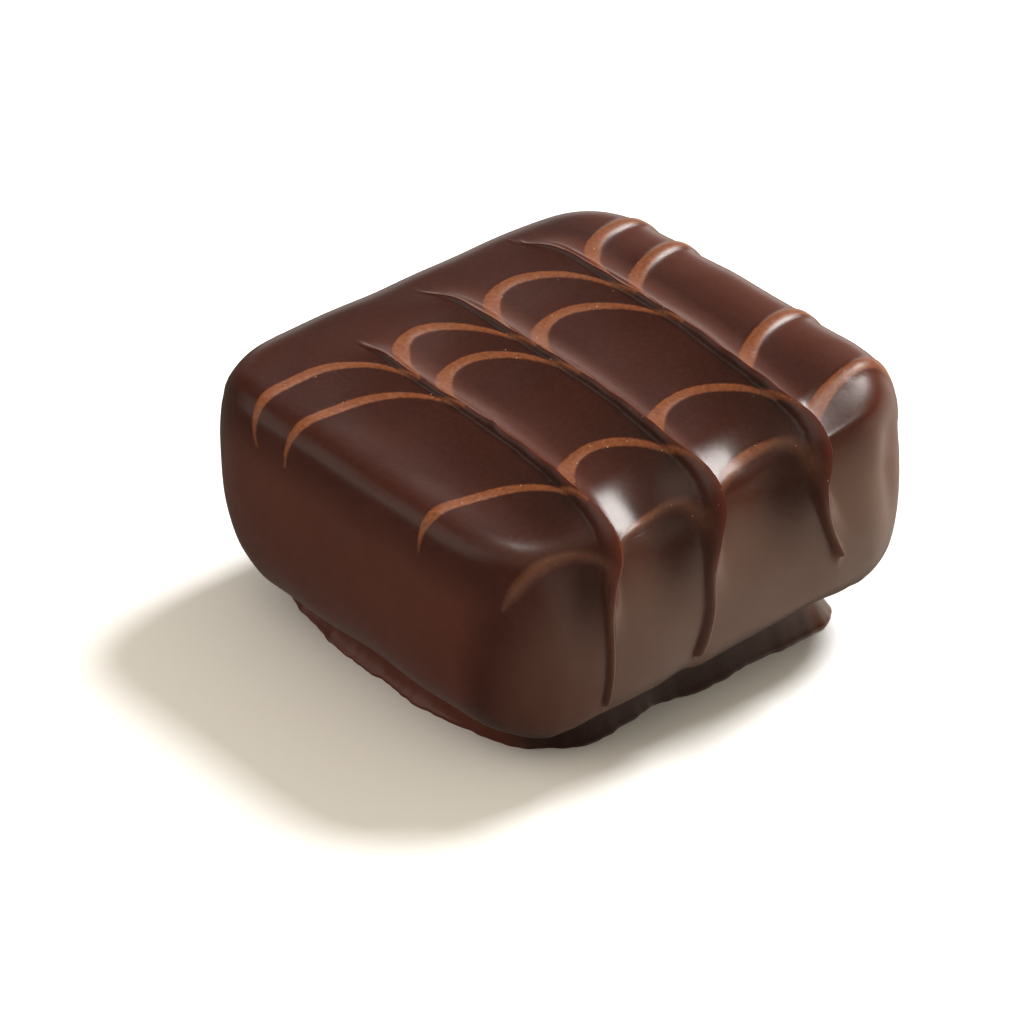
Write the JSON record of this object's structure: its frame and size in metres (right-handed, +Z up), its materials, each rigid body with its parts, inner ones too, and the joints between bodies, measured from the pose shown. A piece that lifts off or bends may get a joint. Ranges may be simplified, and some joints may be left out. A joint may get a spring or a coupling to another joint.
{
  "type": "chocolate bonbon",
  "caption": "Square dark chocolate bonbon with combed ridges that run over the front edge as thin drips, feathered milk chocolate lines on top and a recessed foot.",
  "frame": {"origin": "middle of the footprint, on the flat underside of the foot", "axes": "+Z up, +X to the right along the front, +Y from the front, where the drips run down, to the back"},
  "size_m": [0.0278, 0.0284, 0.0153],
  "materials": {
    "dark_chocolate": "tempered dark chocolate coating with a soft satin gloss, feathered with milk chocolate lines"
  },
  "bodies": {
    "root": {"bonbon": "dark_chocolate"}
  },
  "joints": []
}
